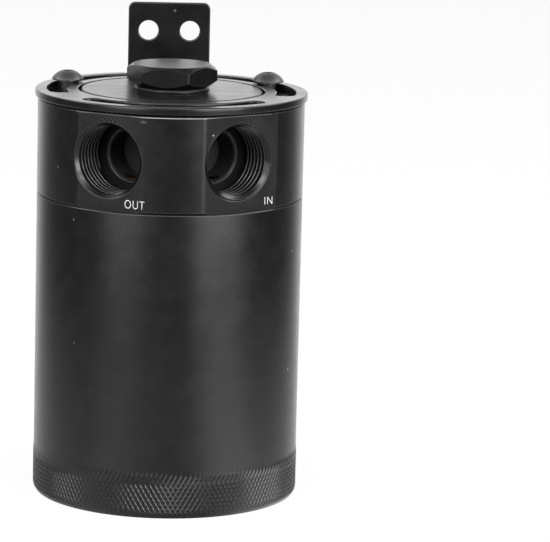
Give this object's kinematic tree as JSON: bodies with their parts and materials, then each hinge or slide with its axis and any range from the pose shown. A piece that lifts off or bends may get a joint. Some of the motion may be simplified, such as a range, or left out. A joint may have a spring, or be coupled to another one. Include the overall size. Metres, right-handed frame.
{
  "type": "oil catch can",
  "caption": "Cylindrical oil catch can for an engine bay: screwed canister with knurled grip, head with threaded inlet and outlet ports, hex top plug and clamped swivel bracket",
  "frame": {"origin": "centre of the canister's flat base, on the surface that it stands on", "axes": "+Z is the canister's axis and points up through the top plug; the hose ports face -Y, the inlet port toward +X and the outlet port toward -X; the bracket's tab stands at +Y"},
  "size_m": [0.0816, 0.0816, 0.1441],
  "materials": {
    "black_anodised": "black anodised, satin",
    "black_plug": "black anodised, satin",
    "black_sheet": "black anodised sheet, satin",
    "black_steel": "black oxide",
    "bright_steel": "bright zinc",
    "rubber": "smooth nitrile rubber",
    "bare_sheet": "bare perforated sheet",
    "steel_mesh": "knitted stainless wire",
    "spacer": "turned, bare",
    "bare_tube": "drawn tube, bare",
    "sintered_bronze": "sintered bronze"
  },
  "bodies": {
    "canister": {"canister": "black_anodised"},
    "head_seal": {"head_o_ring": "rubber"},
    "head": {"head": "black_anodised", "bracket_screw_left": "black_steel", "bracket_screw_right": "black_steel", "baffle_plate": "bare_sheet", "retainer_plate": "bare_sheet", "mesh_pad": "steel_mesh", "baffle_spacer_1": "spacer", "baffle_spacer_2": "spacer", "baffle_spacer_3": "spacer", "baffle_screw_1": "bright_steel", "baffle_screw_2": "bright_steel", "baffle_screw_3": "bright_steel", "inlet_tube": "bare_tube", "outlet_element": "sintered_bronze"},
    "bracket": {"bracket": "black_sheet"},
    "plug_seal": {"plug_o_ring": "rubber"},
    "plug": {"top_plug": "black_plug"}
  },
  "joints": [
    {"name": "head_lift", "type": "slide", "parent": "canister", "child": "head_seal", "axis": [0, 0, 1], "range_m": [0, 0.0061]},
    {"name": "head_turn", "type": "hinge", "parent": "head_seal", "child": "head", "pos_m": [0, 0, 0.0909], "axis": [0, 0, 1], "range_deg": [0, 1080]},
    {"name": "bracket_swivel", "type": "hinge", "parent": "head", "child": "bracket", "pos_m": [0, 0, 0.1212], "axis": [0, 0, 1], "range_deg": [-38, 38]},
    {"name": "plug_lift", "type": "slide", "parent": "head", "child": "plug_seal", "axis": [0, 0, 1], "range_m": [0, 0.0091]},
    {"name": "plug_turn", "type": "hinge", "parent": "plug_seal", "child": "plug", "pos_m": [0, 0, 0.1223], "axis": [0, 0, 1], "range_deg": [0, 2160]}
  ],
  "couplings": [
    {"joint": "head_lift", "follows": "head_turn", "m_per_rad": 0.00031831},
    {"joint": "plug_lift", "follows": "plug_turn", "m_per_rad": 0.00023873}
  ]
}
